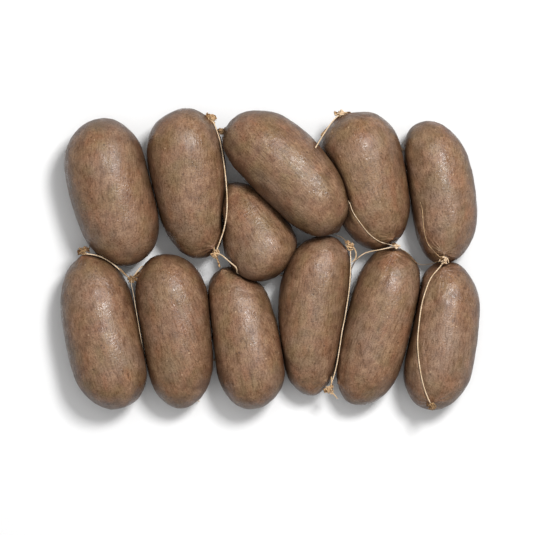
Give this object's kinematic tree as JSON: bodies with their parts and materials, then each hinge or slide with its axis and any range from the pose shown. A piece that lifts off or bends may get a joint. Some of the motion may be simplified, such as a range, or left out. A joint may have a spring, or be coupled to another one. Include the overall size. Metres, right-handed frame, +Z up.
{
  "type": "string of sausage links",
  "caption": "String of plump sausages in natural casing, tied off with cotton twine at each end and laid in two close rows with one on top.",
  "frame": {"origin": "centre of the whole string's bounding box, at the level the sausages lie on", "axes": "+X along the two rows, +Y from the second row to the first, +Z up"},
  "size_m": [0.2308, 0.1655, 0.0488],
  "materials": {
    "casing": "moist natural casing, semi-gloss",
    "twine": "twisted cotton, matte"
  },
  "bodies": {
    "root": {"link_01": "casing", "link_02": "casing", "link_03": "casing", "link_04": "casing", "link_05": "casing", "link_06": "casing", "link_07": "casing", "link_08": "casing", "link_09": "casing", "link_10": "casing", "link_11": "casing", "link_12": "casing", "knot_01": "twine", "knot_02": "twine", "knot_03": "twine", "knot_04": "twine", "knot_05": "twine", "knot_06": "twine", "knot_07": "twine", "knot_08": "twine", "knot_09": "twine", "knot_10": "twine", "knot_11": "twine", "knot_12": "twine", "knot_13": "twine", "knot_14": "twine", "knot_15": "twine", "knot_16": "twine", "knot_17": "twine", "knot_18": "twine", "twine_01": "twine", "twine_02": "twine", "twine_03": "twine", "twine_04": "twine", "twine_05": "twine", "twine_06": "twine", "twine_07": "twine", "twine_08": "twine", "twine_09": "twine", "twine_10": "twine", "twine_11": "twine", "twine_12": "twine", "twine_tail": "twine", "twine_strand": "twine", "twine_cross": "twine", "join_06_07": "twine", "join_09_10": "twine", "join_10_11": "twine"}
  },
  "joints": []
}
